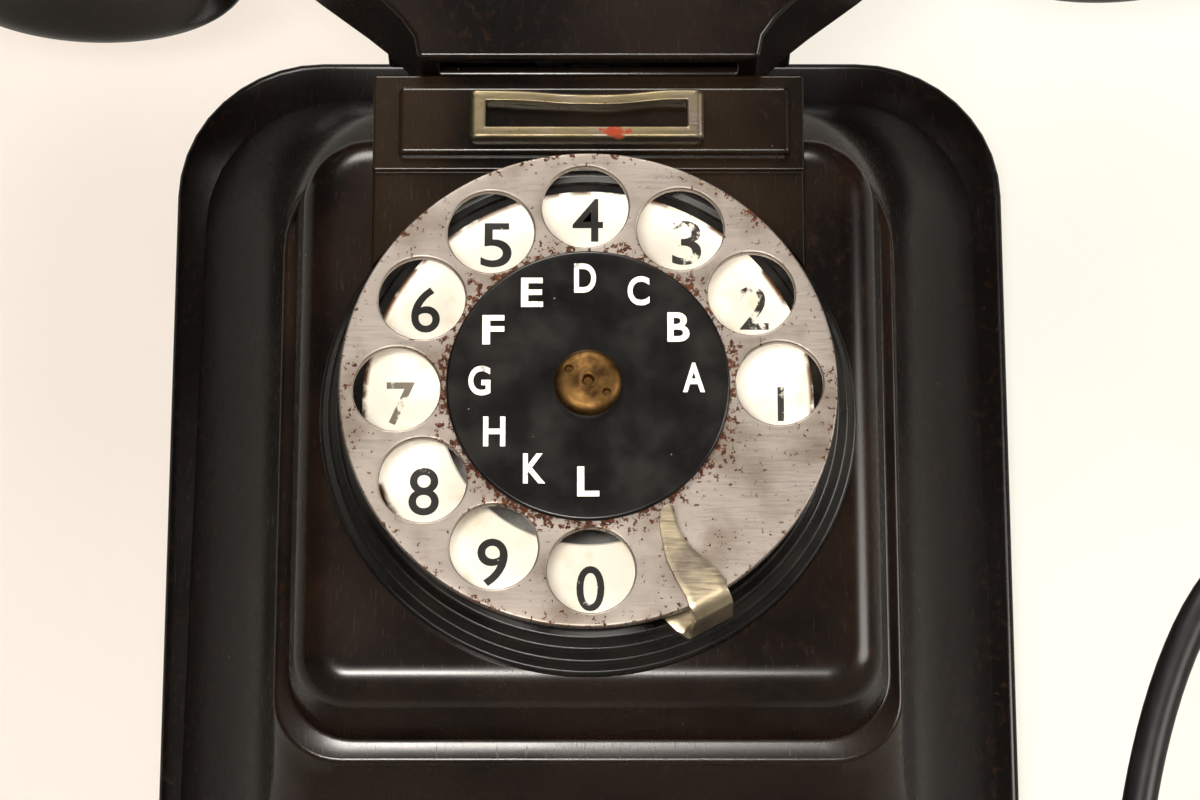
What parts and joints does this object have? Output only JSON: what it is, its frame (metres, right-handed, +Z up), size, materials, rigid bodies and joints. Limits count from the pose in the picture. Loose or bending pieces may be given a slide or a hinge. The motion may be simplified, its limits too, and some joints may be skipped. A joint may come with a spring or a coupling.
{
  "type": "wall telephone",
  "caption": "Wall telephone in a moulded resin case with a rotary finger dial, a sprung cradle across the top and a corded handset lying in it.",
  "frame": {"origin": "middle of the wall plate's rear face, on the wall", "axes": "+X to the right seen from the front, +Y into the wall, +Z up"},
  "size_m": [0.2567, 0.0896, 0.3747],
  "materials": {
    "carbolite": "moulded brown-black phenolic resin, polished, scuffed",
    "plated_steel": "worn nickel plating with rust specks",
    "steel": "zinc-plated, dull",
    "brass": "tarnished brass",
    "enamel": "cream stoved enamel",
    "black_lacquer": "black lacquer, semi-gloss",
    "copper_winding": "enamelled wire under varnished cloth",
    "magnet_steel": "ground magnet steel",
    "tinned_can": "dull tinned can",
    "fibre": "laminated phenolic paper",
    "rubber": "smooth black rubber"
  },
  "bodies": {
    "body": {"back_plate": "steel", "housing": "carbolite", "cradle_guide": "brass", "label_frame": "plated_steel", "cover_screws": "steel", "cord_bushing": "rubber", "dial_case": "black_lacquer", "case_screws": "steel", "number_plate": "enamel", "dial_frame": "steel", "dial_screws": "steel", "finger_stop": "plated_steel", "pulse_contacts": "brass", "governor_cup": "brass", "mainspring": "steel", "ringer_frame": "steel", "ringer_coils": "copper_winding", "ringer_magnet": "magnet_steel", "gong_left": "brass", "gong_right": "brass", "gong_screws": "steel", "condenser": "tinned_can", "condenser_strap": "steel", "induction_coil": "copper_winding", "terminal_block": "fibre", "terminal_screws": "brass", "hook_switch_bracket": "steel", "hook_contacts": "brass", "hook_pivot_pin": "steel", "hook_spring": "steel", "handset_cord": "rubber"},
    "dial": {"finger_wheel": "plated_steel", "letter_disc": "black_lacquer", "dial_hub": "brass", "main_shaft": "steel", "main_gear": "brass"},
    "idler": {"idler_shaft": "steel", "second_gear": "brass", "pulse_cam": "fibre"},
    "governor": {"governor_shaft": "steel", "governor_weights": "brass"},
    "clapper": {"ringer_armature": "steel", "clapper": "brass"},
    "hook_lever": {"hook_lever": "brass"},
    "cradle": {"cradle": "carbolite", "cradle_stem": "steel", "cradle_screws": "steel"},
    "handset": {"handset_handle": "carbolite", "ear_cap": "carbolite", "receiver_capsule": "tinned_can", "mouthpiece_cap": "carbolite", "transmitter_capsule": "brass", "handset_cord_bushing": "rubber"}
  },
  "joints": [
    {"name": "dial_turn", "type": "hinge", "parent": "body", "child": "dial", "pos_m": [0, -0.08, 0.009], "axis": [0, 1, 0], "range_deg": [0, 330], "stiffness_Nm_per_rad": 0.004, "springref_deg": -34.38},
    {"name": "idler_spin", "type": "hinge", "parent": "body", "child": "idler", "pos_m": [-0.0175, -0.05, 0.009], "axis": [0, 1, 0], "range_deg": [-1981, 1]},
    {"name": "governor_spin", "type": "hinge", "parent": "body", "child": "governor", "pos_m": [-0.0175, -0.05, -0.003], "axis": [0, 1, 0], "range_deg": [-1, 9901]},
    {"name": "clapper_swing", "type": "hinge", "parent": "body", "child": "clapper", "pos_m": [0, -0.012, -0.0298], "axis": [0, 1, 0], "range_deg": [-4, 4], "stiffness_Nm_per_rad": 0.002},
    {"name": "cradle_lift", "type": "slide", "parent": "body", "child": "cradle", "axis": [0, 0, 1], "range_m": [0, 0.006], "stiffness_N_per_m": 150, "springref_m": 0.0167, "deforming": ["hook_spring"]},
    {"name": "hook_lever_swing", "type": "hinge", "parent": "body", "child": "hook_lever", "pos_m": [0.014, -0.056, 0.0513], "axis": [0, 1, 0], "range_deg": [0, 22]},
    {"name": "handset_lift", "type": "slide", "parent": "cradle", "child": "handset", "axis": [0, 0, 1], "range_m": [0, 0.08]}
  ],
  "couplings": [
    {"joint": "idler_spin", "follows": "dial_turn", "ratio": -6},
    {"joint": "governor_spin", "follows": "dial_turn", "ratio": 30},
    {"joint": "hook_lever_swing", "follows": "cradle_lift", "rad_per_m": 63.931}
  ]
}
